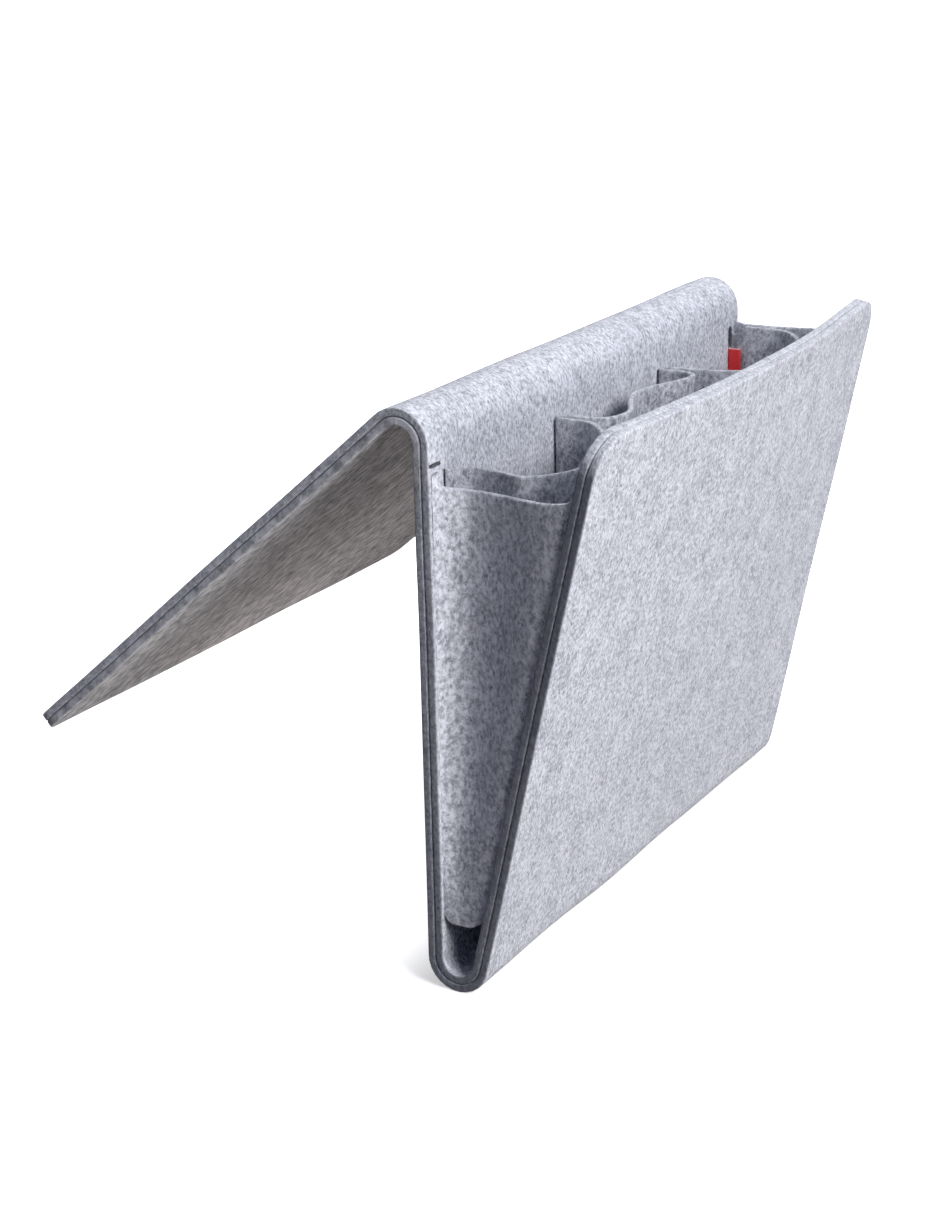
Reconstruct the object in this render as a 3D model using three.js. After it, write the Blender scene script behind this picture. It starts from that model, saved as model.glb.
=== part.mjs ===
// Felt bedside caddy. One long strip of two felt plies runs from the flap, which is tucked under a mattress,
// over a ridge fold, down the back, round a bend and up the front. Gussets close the two ends of the pocket,
// and a thinner felt strip sewn to the back stands inside it in three loops.
//
// Frame: X runs along the bed, +Y points to the bed, +Z is up. The origin is on the axis of the ridge fold,
// half-way along it. The left end is the one at -X.

import * as THREE from 'three';
import { LoftGeometry } from 'three/addons/geometries/LoftGeometry.js';

const radians = THREE.MathUtils.degToRad;

// Driving dimensions of the body, in millimetres and degrees
const LENGTH = 320;
const HEIGHT = 260; // bottom of the bend to top of the ridge
const PLY = 3.6;
const PLY_GAP = 0.3; // left between the two plies
const SEAM_GAP = 0.3; // left between pieces that are sewn together
const RIDGE_RADIUS = 11.5; // half-way between the two plies
const BEND_RADIUS = 11; // half-way between the two plies
const FLAP_RUN = 254; // ridge to free edge
const FLAP_SLOPE = 42; // below level
const FLAP_CORNER = 14;
const BACK_LEAN = 1.3; // towards the bed
const FRONT_RUN = 251.5; // bend to top edge
const FRONT_LEAN = 11.5; // away from the bed
const FRONT_CORNER = 19;
const FRONT_BOW = 9; // of the top edge, outwards at its middle
const FRONT_SKEW = 2; // of the top edge, outwards at its left end and inwards at its right end

// Driving dimensions of what stands in the pocket
const LINING = 2.5; // thickness of the gussets' and the loops' felt
const GUSSET_INSET = 2; // from the body's cut edge
const LEFT_GUSSET_DROP = 27; // ridge top down to the left gusset's upper corners
const LEFT_GUSSET_DIP = 8.8; // of its upper edge, at its middle
const LEFT_GUSSET_FOLD = 13; // how far it folds inwards at its top
const RIGHT_GUSSET_DROP = 21;
const RIGHT_GUSSET_DIP = 1;
const RIGHT_GUSSET_FOLD = 3;
const GUSSET_VALLEY = 10.5; // from the back to where a gusset folds in furthest, at its top
const GUSSET_TAPER = 0.65; // share of the fold and of its distance that is left at a gusset's lower edge
const GUSSET_CLEAR = 30; // above the bottom of the bend
const GUSSET_ROUND = 4; // rise of a gusset's lower corners
const GUSSET_SAG_POWER = 0.2; // how soon a gusset's upper edge dips: the less, the sooner
const STRIP_DROP = 27; // ridge top down to the loops' upper edge
const STRIP_HEIGHT = 175;
const STRIP_END_GAP = 1.5; // between a gusset and the end wall of the loop beside it
const LEFT_LOOP_WIDTH = 104;
const MIDDLE_LOOP_WIDTH = 103; // the right loop takes the rest
const LOOP_SEAM = 6; // width of the seam between two loops, middle of felt to middle of felt
const LOOP_CLEARANCE = 13; // left between the fullest loop and the front
const LOOP_TURN_RADIUS = 2.6; // of the felt where it turns into a seam
const TAB_REACH = 6.5;
const TAB_HEIGHT = 20;
const TAB_DROP = 34; // ridge top down to the tab's upper edge
const TAB_RIBBON = 0.6;
const TAB_FOLD_GAP = 0.4; // between the ribbon's two layers
const LEFT_TACK_LENGTH = 8; // it lies level, above the gusset's corner
const LEFT_TACK_RISE = 3;
const RIGHT_TACK_LENGTH = 11; // it stands upright, above the tab
const RIGHT_TACK_GAP = 0.5;
const TACK_THICKNESS = 1.6;

// Steps of the rounded shapes
const FOLD_STEPS = 16;
const CORNER_STEPS = 6;
const BOW_STEPS = 16;
const FRONT_ROWS = 6;
const GUSSET_STEPS = 24;
const LOOP_STEPS = 3; // between two points of a loop's outline
const TURN_STEPS = 3;
const RIBBON_STEPS = 6;

// Each loop's outline as [share of its width, share of its fullest depth], left to right
const LOOP_OUTLINES = [
	[ [ 0, 0.04 ], [ 0, 0.2 ], [ 0, 0.42 ], [ 0.02, 0.52 ], [ 0.08, 0.7 ], [ 0.21, 0.91 ], [ 0.38, 1 ],
		[ 0.58, 0.93 ], [ 0.77, 0.74 ], [ 0.91, 0.54 ], [ 0.98, 0.4 ], [ 1, 0.26 ] ],
	[ [ 0, 0.2 ], [ 0.01, 0.36 ], [ 0.05, 0.46 ], [ 0.13, 0.5 ], [ 0.23, 0.47 ], [ 0.4, 0.31 ], [ 0.54, 0.22 ],
		[ 0.66, 0.25 ], [ 0.78, 0.36 ], [ 0.89, 0.43 ], [ 0.97, 0.4 ], [ 1, 0.28 ] ],
	[ [ 0, 0.26 ], [ 0.01, 0.48 ], [ 0.04, 0.66 ], [ 0.13, 0.87 ], [ 0.32, 1 ], [ 0.58, 1 ], [ 0.8, 0.87 ],
		[ 0.94, 0.64 ], [ 0.99, 0.48 ], [ 1, 0.36 ], [ 1, 0.2 ], [ 1, 0.04 ] ],
];

// Colours and finishes
const FELT = { color: 0xbfc1c7, roughness: 0.95, metalness: 0 };
const THREAD = { color: 0x34353c, roughness: 0.8, metalness: 0 };
const RIBBON = { color: 0xc4161f, roughness: 0.7, metalness: 0 };

// Sizes that follow from the driving dimensions
const halfLength = LENGTH / 2;
const bodyThickness = 2 * PLY + PLY_GAP;
const halfThickness = bodyThickness / 2;
const ridgeTop = RIDGE_RADIUS + halfThickness;
const lean = radians( BACK_LEAN );
const mouthAngle = radians( FRONT_LEAN + BACK_LEAN );
const standHeight = HEIGHT - RIDGE_RADIUS - BEND_RADIUS - bodyThickness;
const backRun = ( ( RIDGE_RADIUS + BEND_RADIUS ) * Math.sin( lean ) + standHeight ) / Math.cos( lean );
const bendCentre = { y: - RIDGE_RADIUS - BEND_RADIUS, z: - backRun };
const pocketFace = - RIDGE_RADIUS - halfThickness;

// The gussets at the two ends, each with its side as a sign along X
const leftEnd = { side: - 1, drop: LEFT_GUSSET_DROP, dip: LEFT_GUSSET_DIP, fold: LEFT_GUSSET_FOLD };
const rightEnd = { side: 1, drop: RIGHT_GUSSET_DROP, dip: RIGHT_GUSSET_DIP, fold: RIGHT_GUSSET_FOLD };

// The two plies as distances from the middle of the body: pocket side first, then bed side
const pocketPly = [ PLY_GAP / 2, halfThickness ];
const bedPly = [ - halfThickness, - PLY_GAP / 2 ];

// A mesh of one felt, thread or ribbon piece
function piece( name, geometry, finish ) {

	const mesh = new THREE.Mesh( geometry, new THREE.MeshStandardMaterial( finish ) );
	mesh.name = name;
	return mesh;

}

// A solid carried along X through side views, each a list of [y, z] points
function carryAlongLength( stations, sideViewAt ) {

	const sections = stations.map( ( x ) => {

		const outline = sideViewAt( x ).map( ( [ y, z ] ) => new THREE.Vector2( y, z ) );
		if ( THREE.ShapeUtils.isClockWise( outline ) ) outline.reverse();
		return outline.map( ( point ) => new THREE.Vector3( x, point.x, point.y ) );

	} );
	return new LoftGeometry( sections, { capStart: true, capEnd: true } );

}

// A standing sheet between a lower and an upper edge, each a ring of points round the sheet's thickness
function standingSheet( lower, upper ) {

	const plan = lower.map( ( point ) => new THREE.Vector2( point.x, point.y ) );
	const turned = THREE.ShapeUtils.isClockWise( plan );
	const rings = [ lower, upper ].map( ( ring ) => ( turned ? [ ...ring ].reverse() : ring ) );
	return new LoftGeometry( rings, { capStart: true, capEnd: true } );

}

// Stations along X for a panel whose two free corners are rounded
function corneredStations( corner, middleSteps ) {

	const inner = halfLength - corner;
	const arc = Array.from( { length: CORNER_STEPS }, ( _, i ) => {

		return inner + corner * Math.sin( ( ( i + 1 ) / CORNER_STEPS ) * ( Math.PI / 2 ) );

	} );
	const middle = Array.from( { length: middleSteps + 1 }, ( _, i ) => {

		return inner * ( ( 2 * i ) / middleSteps - 1 );

	} );
	return [ ...arc.map( ( x ) => - x ).reverse(), ...middle, ...arc ];

}

// How much a rounded corner takes off a panel's run at x
function cornerLoss( corner, x ) {

	const past = Math.max( 0, Math.abs( x ) - ( halfLength - corner ) );
	return corner - Math.sqrt( Math.max( 0, corner * corner - past * past ) );

}

// One ply of the flap, level in its own frame, with the ridge's axis along X through the origin
function flapPly( [ low, high ] ) {

	return carryAlongLength( corneredStations( FLAP_CORNER, 1 ), ( x ) => {

		const end = FLAP_RUN - cornerLoss( FLAP_CORNER, x );
		const under = RIDGE_RADIUS + low;
		const over = RIDGE_RADIUS + high;
		return [ [ SEAM_GAP, under ], [ end, under ], [ end, over ], [ SEAM_GAP, over ] ];

	} );

}

// One ply of the back, upright in its own frame, below the ridge's axis
function backPly( [ low, high ] ) {

	const top = - SEAM_GAP;
	const bottom = SEAM_GAP - backRun;
	const bedSide = - RIDGE_RADIUS - low;
	const pocketSide = - RIDGE_RADIUS - high;
	return carryAlongLength( [ - halfLength, halfLength ], () => [
		[ pocketSide, bottom ], [ bedSide, bottom ], [ bedSide, top ], [ pocketSide, top ],
	] );

}

// One ply of a fold: an arc in the side view, of two radii about a centre, between two angles
function foldPly( centre, radii, from, to ) {

	const arc = ( radius, start, end ) => Array.from( { length: FOLD_STEPS + 1 }, ( _, i ) => {

		const angle = start + ( end - start ) * ( i / FOLD_STEPS );
		return [ centre.y + radius * Math.cos( angle ), centre.z + radius * Math.sin( angle ) ];

	} );
	const outline = [ ...arc( radii[ 0 ], from, to ), ...arc( radii[ 1 ], to, from ) ];
	return carryAlongLength( [ - halfLength, halfLength ], () => outline );

}

// How far the front stands out at x, for each millimetre up it
function frontOut( x ) {

	const along = x / halfLength;
	return ( FRONT_BOW * ( 1 - along * along ) - FRONT_SKEW * along ) / FRONT_RUN;

}

// One ply of the front, upright in its own frame, with the bend's axis along X through the origin
function frontPly( [ low, high ] ) {

	return carryAlongLength( corneredStations( FRONT_CORNER, BOW_STEPS ), ( x ) => {

		const end = FRONT_RUN - cornerLoss( FRONT_CORNER, x );
		const face = ( offset ) => Array.from( { length: FRONT_ROWS + 1 }, ( _, i ) => {

			const up = SEAM_GAP + ( end - SEAM_GAP ) * ( i / FRONT_ROWS );
			return [ - BEND_RADIUS + offset - frontOut( x ) * up, up ];

		} );
		return [ ...face( high ), ...face( low ).reverse() ];

	} );

}

// Depth of the pocket at a height in the back's frame, for a front that stands out by the given slope
function pocketDepth( z, out ) {

	const inner = BEND_RADIUS - halfThickness;
	const up = ( z - bendCentre.z + inner * Math.sin( mouthAngle ) )
		/ ( Math.cos( mouthAngle ) - out * Math.sin( mouthAngle ) );
	const past = ( inner + out * up ) * Math.cos( mouthAngle ) + up * Math.sin( mouthAngle );
	return pocketFace - bendCentre.y + past;

}

// A gusset in plan at a share of the way along its felt: its distance off the back, how far in from the
// body's cut edge its outer face is, and how much the slant of the felt draws its thickness out along X.
// It folds in as far as the valley, which is half of the way, and then runs back out to the front.
function gussetPlan( share, fold, valley, depth ) {

	const past = 2 * share - 1;
	const before = past < 0;
	const run = before ? valley : depth - valley;
	const angle = Math.PI * ( before ? share : past );
	const off = before ? 2 * share * run : valley + past * run;
	const folded = before ? Math.sin( angle ) : ( 1 + Math.cos( angle ) ) / 2;
	const growth = before ? Math.cos( angle ) : - Math.sin( angle );
	const slope = ( ( Math.PI / 2 ) * fold * growth ) / run;
	return { off, inset: GUSSET_INSET + fold * folded, slant: Math.hypot( 1, slope ) };

}

// A gusset: a sheet across one end of the pocket that folds inwards, sewn to the back and the front
function gusset( { side, drop, dip, fold } ) {

	const top = ridgeTop - drop;
	const bottom = ridgeTop - HEIGHT + GUSSET_CLEAR;

	// A point of the sheet at a share of its width, at its lower or upper edge, on its outer or inner face
	const at = ( share, upper, inward ) => {

		const fromSide = Math.min( share, 1 - share );
		const rounding = GUSSET_ROUND * ( 1 - Math.min( 1, 3 * fromSide ) ) ** 2;
		const sag = dip * Math.sin( Math.PI * fromSide ) ** GUSSET_SAG_POWER;
		const z = upper ? top - sag : bottom + rounding;
		const taper = upper ? 1 : GUSSET_TAPER;
		const sheet = gussetPlan( share, fold * taper, GUSSET_VALLEY * taper, pocketDepth( z, 0 ) );
		const x = side * ( halfLength - sheet.inset - inward * sheet.slant );
		const stretch = ( pocketDepth( z, frontOut( x ) ) - 2 * SEAM_GAP ) / pocketDepth( z, 0 );
		return new THREE.Vector3( x, pocketFace - SEAM_GAP - sheet.off * stretch, z );

	};
	const shares = Array.from( { length: GUSSET_STEPS + 1 }, ( _, i ) => i / GUSSET_STEPS );
	const ring = ( upper ) => [
		...shares.map( ( share ) => at( share, upper, 0 ) ),
		...shares.map( ( share ) => at( 1 - share, upper, LINING ) ),
	];
	return standingSheet( ring( false ), ring( true ) );

}

// How far in from the body's cut edge the middle of a loop's end wall stays, at a distance off the back
function wallInset( off, fold, depth ) {

	const share = off < GUSSET_VALLEY
		? off / ( 2 * GUSSET_VALLEY )
		: 0.5 + ( off - GUSSET_VALLEY ) / ( 2 * ( depth - GUSSET_VALLEY ) );
	const { inset, slant } = gussetPlan( THREE.MathUtils.clamp( share, 0, 1 ), fold, GUSSET_VALLEY, depth );
	return inset + 1.5 * LINING * slant + STRIP_END_GAP;

}

// The loops' middle line in plan: x along the strip and the distance that the felt stands off the back
function loopLine() {

	const depth = pocketDepth( ridgeTop - STRIP_DROP, 0 );
	const fullest = depth - LOOP_CLEARANCE;
	const flat = SEAM_GAP + LINING / 2;
	const start = GUSSET_INSET + 1.5 * LINING + STRIP_END_GAP - halfLength;

	// The quarter turn from a loop's wall into a seam
	const quarter = Array.from( { length: TURN_STEPS + 1 }, ( _, i ) => {

		const angle = ( i / TURN_STEPS ) * ( Math.PI / 2 );
		const past = LOOP_TURN_RADIUS * ( 1 - Math.cos( angle ) );
		const off = flat + LOOP_TURN_RADIUS * ( 1 - Math.sin( angle ) );
		return [ past, off ];

	} );

	// A point of the line, which stays clear of the gussets
	const pointAt = ( x, off ) => {

		const leftmost = wallInset( off, LEFT_GUSSET_FOLD, depth ) - halfLength;
		const rightmost = halfLength - wallInset( off, RIGHT_GUSSET_FOLD, depth );
		return new THREE.Vector3( THREE.MathUtils.clamp( x, leftmost, rightmost ), off, 0 );

	};
	const rightLoopWidth = - 2 * start - LEFT_LOOP_WIDTH - MIDDLE_LOOP_WIDTH - 2 * LOOP_SEAM;
	const widths = [ LEFT_LOOP_WIDTH, MIDDLE_LOOP_WIDTH, rightLoopWidth ];
	const points = [ pointAt( start, SEAM_GAP ) ];
	let left = start;
	LOOP_OUTLINES.forEach( ( outline, i ) => {

		outline.forEach( ( [ across, full ] ) => {

			points.push( pointAt( left + across * widths[ i ], full * fullest ) );

		} );
		const right = left + widths[ i ];
		if ( i < LOOP_OUTLINES.length - 1 ) {

			const seamEnd = right + LOOP_SEAM;
			quarter.forEach( ( [ past, off ] ) => points.push( pointAt( right + past, off ) ) );
			quarter.toReversed().forEach( ( [ past, off ] ) => points.push( pointAt( seamEnd - past, off ) ) );

		}
		left = right + LOOP_SEAM;

	} );
	points.push( pointAt( - start, SEAM_GAP ) );
	const curve = new THREE.CatmullRomCurve3( points, false, 'centripetal' );
	return curve.getPoints( ( points.length - 1 ) * LOOP_STEPS );

}

// The strip of loops: its line in plan, given a thickness, drawn in towards the back with the pocket's depth
function pocketStrip() {

	const line = loopLine();
	const top = ridgeTop - STRIP_DROP;
	const flat = SEAM_GAP + LINING / 2;
	const side = ( offset ) => line.map( ( point, i ) => {

		const before = line[ Math.max( 0, i - 1 ) ];
		const after = line[ Math.min( line.length - 1, i + 1 ) ];
		const length = before.distanceTo( after );
		return {
			x: point.x - ( offset * ( after.y - before.y ) ) / length,
			off: Math.max( SEAM_GAP, point.y + ( offset * ( after.x - before.x ) ) / length ),
		};

	} );
	const outline = [ ...side( LINING / 2 ), ...side( - LINING / 2 ).reverse() ];
	const ringAt = ( z ) => {

		const share = pocketDepth( z, 0 ) / pocketDepth( top, 0 );
		return outline.map( ( { x, off } ) => {

			const drawnIn = off > flat ? flat + ( off - flat ) * share : off;
			return new THREE.Vector3( x, pocketFace - drawnIn, z );

		} );

	};
	return standingSheet( ringAt( top - STRIP_HEIGHT ), ringAt( top ) );

}

// The side tab: a ribbon folded double, its fold facing out of the seam
function sideTab() {

	const reach = TAB_REACH;
	const outer = TAB_RIBBON + TAB_FOLD_GAP / 2;
	const inner = TAB_FOLD_GAP / 2;
	const hairpin = new THREE.Shape();
	hairpin.moveTo( - outer, 0 );
	hairpin.lineTo( - inner, 0 );
	hairpin.lineTo( - inner, - reach + outer );
	hairpin.absarc( 0, - reach + outer, inner, Math.PI, 2 * Math.PI, false );
	hairpin.lineTo( inner, 0 );
	hairpin.lineTo( outer, 0 );
	hairpin.lineTo( outer, - reach + outer );
	hairpin.absarc( 0, - reach + outer, outer, 2 * Math.PI, Math.PI, true );
	const settings = { depth: TAB_HEIGHT, bevelEnabled: false, curveSegments: RIBBON_STEPS };
	return new THREE.ExtrudeGeometry( hairpin, settings );

}

// A bar tack: a short bar of close stitches, along Y
function barTack( length ) {

	const straight = length - TACK_THICKNESS;
	return new THREE.CapsuleGeometry( TACK_THICKNESS / 2, straight, RIBBON_STEPS, 2 * RIBBON_STEPS );

}

// The flap turns about the ridge's axis
const flap = new THREE.Group();
flap.rotation.x = - radians( FLAP_SLOPE );
flap.add( piece( 'flap_top_ply', flapPly( pocketPly ), FELT ) );
flap.add( piece( 'flap_under_ply', flapPly( bedPly ), FELT ) );

// The ridge joins the flap and the back
const ridge = new THREE.Group();
const ridgeAxis = { y: 0, z: 0 };
const ridgeFrom = Math.PI / 2 - radians( FLAP_SLOPE );
const ridgeTo = Math.PI - lean;
const ridgePly = ( ply ) => {

	const radii = ply.map( ( offset ) => RIDGE_RADIUS + offset );
	return foldPly( ridgeAxis, radii, ridgeFrom, ridgeTo );

};
ridge.add( piece( 'ridge_outer_ply', ridgePly( pocketPly ), FELT ) );
ridge.add( piece( 'ridge_inner_ply', ridgePly( bedPly ), FELT ) );

// The back carries the bend, the gussets, the loops, the tab and the tacks
const back = new THREE.Group();
back.rotation.x = - lean;
back.add( piece( 'back_pocket_ply', backPly( pocketPly ), FELT ) );
back.add( piece( 'back_bed_ply', backPly( bedPly ), FELT ) );
const bendTo = mouthAngle - Math.PI;
const bendPly = ( ply ) => {

	const radii = ply.map( ( offset ) => BEND_RADIUS - offset );
	return foldPly( bendCentre, radii, 0, bendTo );

};
back.add( piece( 'bend_inner_ply', bendPly( pocketPly ), FELT ) );
back.add( piece( 'bend_outer_ply', bendPly( bedPly ), FELT ) );
back.add( piece( 'left_gusset', gusset( leftEnd ), FELT ) );
back.add( piece( 'right_gusset', gusset( rightEnd ), FELT ) );
back.add( piece( 'pocket_strip', pocketStrip(), FELT ) );

// The tab stands in the corner between the back and the last loop's end wall
const tab = piece( 'side_tab', sideTab(), RIBBON );
const tabBottom = ridgeTop - TAB_DROP - TAB_HEIGHT;
const tabHalf = TAB_RIBBON + TAB_FOLD_GAP / 2;
const wallFurthest = GUSSET_INSET + RIGHT_GUSSET_FOLD + 2 * LINING + STRIP_END_GAP;
const tabMiddle = halfLength - wallFurthest - SEAM_GAP - tabHalf;
tab.position.set( tabMiddle, pocketFace - SEAM_GAP, tabBottom );
back.add( tab );

// The left tack lies on the back's pocket side, from its cut edge inwards, just above the gusset
const tackRadius = TACK_THICKNESS / 2;
const tackFace = pocketFace - SEAM_GAP - tackRadius;
const leftTack = piece( 'left_bar_tack', barTack( LEFT_TACK_LENGTH ), THREAD );
leftTack.rotation.z = Math.PI / 2;
leftTack.position.set(
	LEFT_TACK_LENGTH / 2 - halfLength, tackFace, ridgeTop - LEFT_GUSSET_DROP + LEFT_TACK_RISE + tackRadius
);
back.add( leftTack );

// The right tack stands on the back's pocket side, above the tab
const rightTack = piece( 'right_bar_tack', barTack( RIGHT_TACK_LENGTH ), THREAD );
rightTack.rotation.x = Math.PI / 2;
rightTack.position.set( tabMiddle, tackFace, ridgeTop - TAB_DROP + RIGHT_TACK_GAP + RIGHT_TACK_LENGTH / 2 );
back.add( rightTack );

// The front turns about the bend's axis
const front = new THREE.Group();
front.position.set( 0, bendCentre.y, bendCentre.z );
front.rotation.x = mouthAngle;
front.add( piece( 'front_inner_ply', frontPly( pocketPly ), FELT ) );
front.add( piece( 'front_outer_ply', frontPly( bedPly ), FELT ) );
back.add( front );

const caddy = new THREE.Group();
caddy.add( flap, ridge, back );

export default caddy;
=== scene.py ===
"""Felt bedside caddy: its dressed pieces, their materials and a plain studio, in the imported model's frame.

X runs along the bed, +Y points to the bed and +Z is up. The origin is on the axis of the ridge fold,
half-way along it. The caddy's sizes are in millimetres and degrees. Meshes, finishes and the studio are in
metres.
"""

import logging
import math
from dataclasses import dataclass, replace
from enum import Enum
from functools import partial
from typing import Any, Callable, Mapping, Sequence

import bpy
import numpy as np
from mathutils import Matrix, Vector


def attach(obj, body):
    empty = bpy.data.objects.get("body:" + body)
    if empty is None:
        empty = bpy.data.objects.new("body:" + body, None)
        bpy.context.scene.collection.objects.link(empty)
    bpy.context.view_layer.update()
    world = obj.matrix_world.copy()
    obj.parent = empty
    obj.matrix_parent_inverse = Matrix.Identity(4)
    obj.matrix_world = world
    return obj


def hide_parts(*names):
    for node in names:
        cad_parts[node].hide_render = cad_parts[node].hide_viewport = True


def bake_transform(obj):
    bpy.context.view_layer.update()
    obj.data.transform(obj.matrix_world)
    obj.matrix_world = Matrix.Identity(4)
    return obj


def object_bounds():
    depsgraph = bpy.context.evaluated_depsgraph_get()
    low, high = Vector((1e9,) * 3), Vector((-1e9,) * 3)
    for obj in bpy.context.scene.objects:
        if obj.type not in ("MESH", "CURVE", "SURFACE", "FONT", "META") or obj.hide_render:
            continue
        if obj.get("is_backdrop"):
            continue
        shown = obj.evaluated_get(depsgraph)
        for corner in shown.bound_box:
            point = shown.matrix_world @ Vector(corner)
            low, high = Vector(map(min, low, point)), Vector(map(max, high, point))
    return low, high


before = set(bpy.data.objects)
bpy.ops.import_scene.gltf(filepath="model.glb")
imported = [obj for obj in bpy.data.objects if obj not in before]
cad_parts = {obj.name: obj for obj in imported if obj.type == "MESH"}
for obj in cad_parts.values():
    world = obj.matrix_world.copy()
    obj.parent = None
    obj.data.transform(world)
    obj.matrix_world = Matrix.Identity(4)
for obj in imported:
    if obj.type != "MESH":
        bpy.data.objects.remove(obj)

LOG = logging.getLogger("caddy")
MM = 0.001
DIGITS = 4
SHARE_DIGITS = 6
WAVES = 7
WAVE_SPREAD = (0.7, 1.6)
LEAST_PACE = 1e-4
NOISE_MIDDLE = 0.5

Array = np.ndarray
Colour = tuple[float, float, float]
Point = tuple[float, float, float]
Range = tuple[float, float]
Stops = tuple[tuple[float, Colour], ...]
Face = Callable[[Array], Array]
Surface = Callable[[Array, Array, Array], Array]

WHITE: Colour = (1.0, 1.0, 1.0)


class Body(str, Enum):
    """The bodies that the pieces follow."""

    BACK = "back"
    FLAP = "flap"
    FRONT = "front"


class Side(Enum):
    """The caddy's two ends, as a sign along X."""

    LEFT = -1
    RIGHT = 1


class Ply(Enum):
    """The two plies of the body: which side of its middle each one lies on."""

    POCKET = 1
    BED = -1


def smooth_step(low: float, high: float, value: Array) -> Array:
    """A smooth rise from 0 at low to 1 at high: 3 t squared less 2 t cubed.

    Args:
        low: value where the rise begins.
        high: value where the rise ends.
        value: where it is wanted.

    Returns:
        The height of the rise, from 0 to 1.
    """
    share = np.clip((value - low) / (high - low), 0.0, 1.0)
    return share * share * (3.0 - 2.0 * share)


def waviness(first: Array, second: Array, wavelength: float, seed: int) -> Array:
    """A gentle uneven swell: seven plane sine waves in random directions, together about one unit high.

    Args:
        first: first coordinate on the cloth.
        second: second coordinate on the cloth.
        wavelength: typical length of a wave, in the coordinates' unit.
        seed: number that picks the waves.

    Returns:
        The swell's height at each point.
    """
    rng = np.random.default_rng(seed)
    turns = rng.uniform(0.0, 2.0 * np.pi, WAVES)
    phases = rng.uniform(0.0, 2.0 * np.pi, WAVES)
    rates = 2.0 * np.pi / (wavelength * rng.uniform(*WAVE_SPREAD, WAVES))
    along = first[..., None] * np.cos(turns) + second[..., None] * np.sin(turns)
    return np.sin(along * rates + phases).sum(axis=-1) / math.sqrt(WAVES)


def turned(y: Array, z: Array, degrees: float) -> tuple[Array, Array]:
    """Turns points about X by the right-hand rule.

    Args:
        y: their Y.
        z: their Z.
        degrees: angle of the turn.

    Returns:
        The turned Y and Z.
    """
    angle = math.radians(degrees)
    return y * math.cos(angle) - z * math.sin(angle), y * math.sin(angle) + z * math.cos(angle)


def spaced(start: float, stop: float, step: float) -> Array:
    """Even stations from start to stop, no further apart than step."""
    count = max(2, int(math.ceil(abs(stop - start) / step)) + 1)
    return np.linspace(start, stop, count)


def edge_rows(near: Array, total: float, step: float, digits: int = DIGITS) -> Array:
    """Stations from one cut edge to the other: the near ones at both, and even ones between them.

    Args:
        near: distances from a cut edge where there are stations.
        total: distance between the two edges.
        step: how far apart the even stations are at most.
        digits: decimals that the stations are rounded to.

    Returns:
        The stations in order.
    """
    even = spaced(near[-1], total - near[-1], step)
    return np.unique(np.round(np.concatenate([near, even, total - near]), digits))


def make_object(name: str, points: Array, faces: Array, marks: Mapping[str, Array]) -> bpy.types.Object:
    """Puts a surface into the scene, with its faces turned outwards.

    The sign of the enclosed volume, a sixth of the sum of the triangles' triple products, says whether the
    faces have to be turned over.

    Args:
        name: the piece's name.
        points: vertices in millimetres, one row each.
        faces: four vertex numbers a face.
        marks: values on the vertices, by name, for the materials to read.

    Returns:
        The new object.
    """
    corners = points[faces]
    first, second, third, fourth = (corners[:, i] for i in range(4))
    volume = np.einsum("ij,ij->i", first, np.cross(second, third)).sum()
    volume += np.einsum("ij,ij->i", first, np.cross(third, fourth)).sum()
    if volume < 0:
        faces = faces[:, ::-1]
    mesh = bpy.data.meshes.new(name)
    mesh.from_pydata((points * MM).tolist(), [], faces.tolist())
    mesh.polygons.foreach_set("use_smooth", np.ones(len(faces), dtype=bool))
    for mark, values in marks.items():
        attribute = mesh.attributes.new(mark, "FLOAT", "POINT")
        attribute.data.foreach_set("value", values.astype(np.float32))
    mesh.update()
    made = bpy.data.objects.new(name, mesh)
    bpy.context.scene.collection.objects.link(made)
    return made


def grid_faces(number: Array) -> Array:
    """Faces of a grid of vertex numbers: each one joins four neighbours."""
    corners = [number[:-1, :-1], number[:-1, 1:], number[1:, 1:], number[1:, :-1]]
    return np.stack(corners, axis=-1).reshape(-1, 4)


def sheet_faces(rows: int, columns: int) -> Array:
    """Faces of a sheet with an upper and a lower grid of points and walls between their edges.

    Args:
        rows: rows of points in each grid.
        columns: columns of points in each grid.

    Returns:
        Four vertex numbers a face, the upper grid's vertices first.
    """
    upper = np.arange(rows * columns).reshape(rows, columns)
    lower = upper + rows * columns

    def quads(first: Array, second: Array) -> Array:
        """Faces of a wall between two lines of vertex numbers."""
        return np.stack([first[:-1], first[1:], second[1:], second[:-1]], axis=-1).reshape(-1, 4)

    face = grid_faces(upper)
    under = (face + rows * columns)[:, ::-1]
    walls = [
        quads(lower[0], upper[0]),
        quads(upper[-1], lower[-1]),
        quads(upper[:, 0], lower[:, 0]),
        quads(lower[:, -1], upper[:, -1]),
    ]
    return np.concatenate([face, under, *walls])


def thick_sheet(name: str, face: Face, thick: Array, marks: Mapping[str, Array]) -> bpy.types.Object:
    """A sheet with a face on either side of its middle and walls between their edges.

    Args:
        name: the piece's name.
        face: gives a face's grid of points for their distance off the middle.
        thick: half the thickness, for each point of the grid or each row.
        marks: values for each point or each row, by name, for the materials to read.

    Returns:
        The sheet.
    """
    faces = [face(thick), face(-thick)]
    grid = faces[0].shape[:2]
    on_both = {mark: np.tile(np.broadcast_to(values, grid).ravel(), 2) for mark, values in marks.items()}
    return make_object(name, np.concatenate(faces).reshape(-1, 3), sheet_faces(*grid), on_both)


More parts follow.
